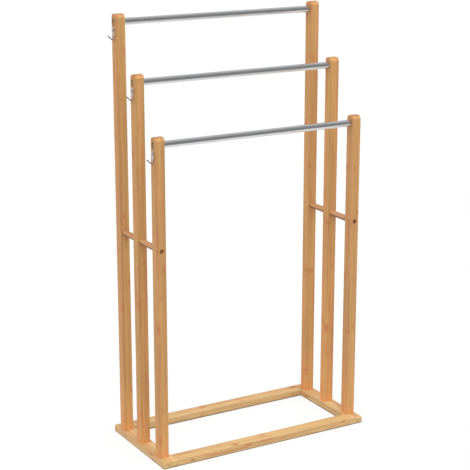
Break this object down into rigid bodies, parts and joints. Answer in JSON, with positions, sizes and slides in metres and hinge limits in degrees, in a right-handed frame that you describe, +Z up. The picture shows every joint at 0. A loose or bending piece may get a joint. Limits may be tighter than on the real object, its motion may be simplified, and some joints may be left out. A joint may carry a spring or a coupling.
{
  "type": "towel rack",
  "caption": "Free-standing bamboo towel rack: paired posts rise in steps on an open base frame, with steel rails between them and small coat hooks on one side.",
  "frame": {"origin": "middle of the rack's overall box, hooks included, at floor level", "axes": "+X along the rails from the hooks' side to the other, +Y from the front towards the tallest posts at the back, +Z up"},
  "size_m": [0.5615, 0.26, 1.0143],
  "materials": {
    "post_bamboo": "laminated bamboo, satin clear lacquer",
    "board_bamboo": "laminated bamboo, satin clear lacquer",
    "dowel_bamboo": "turned bamboo, satin clear lacquer",
    "rail_steel": "polished stainless steel tube",
    "hook_steel": "satin nickel plate",
    "zinc_steel": "zinc plated, semi-bright"
  },
  "bodies": {
    "root": {"base_board_left": "board_bamboo", "base_board_right": "board_bamboo", "base_rail_front": "board_bamboo", "base_rail_back": "board_bamboo", "base_pin_front_left_outer": "dowel_bamboo", "base_pin_front_left_inner": "dowel_bamboo", "base_pin_front_right_outer": "dowel_bamboo", "base_pin_front_right_inner": "dowel_bamboo", "base_pin_back_left_outer": "dowel_bamboo", "base_pin_back_left_inner": "dowel_bamboo", "base_pin_back_right_outer": "dowel_bamboo", "base_pin_back_right_inner": "dowel_bamboo", "post_front_left": "post_bamboo", "post_front_right": "post_bamboo", "post_middle_left": "post_bamboo", "post_middle_right": "post_bamboo", "post_back_left": "post_bamboo", "post_back_right": "post_bamboo", "foot_screw_front_left": "zinc_steel", "foot_screw_front_right": "zinc_steel", "foot_screw_middle_left": "zinc_steel", "foot_screw_middle_right": "zinc_steel", "foot_screw_back_left": "zinc_steel", "foot_screw_back_right": "zinc_steel", "rail_front": "rail_steel", "rail_middle": "rail_steel", "rail_back": "rail_steel", "rail_insert_front_left": "zinc_steel", "rail_insert_front_right": "zinc_steel", "rail_insert_middle_left": "zinc_steel", "rail_insert_middle_right": "zinc_steel", "rail_insert_back_left": "zinc_steel", "rail_insert_back_right": "zinc_steel", "rail_bolt_front_left": "zinc_steel", "rail_bolt_front_right": "zinc_steel", "rail_bolt_middle_left": "zinc_steel", "rail_bolt_middle_right": "zinc_steel", "rail_bolt_back_left": "zinc_steel", "rail_bolt_back_right": "zinc_steel", "strut_left": "dowel_bamboo", "strut_right": "dowel_bamboo", "strut_screw_front_left": "zinc_steel", "strut_screw_front_right": "zinc_steel", "strut_screw_back_left": "zinc_steel", "strut_screw_back_right": "zinc_steel", "hook_front": "hook_steel", "hook_middle": "hook_steel", "hook_back": "hook_steel", "hook_screw_front": "zinc_steel", "hook_screw_middle": "zinc_steel", "hook_screw_back": "zinc_steel"}
  },
  "joints": []
}
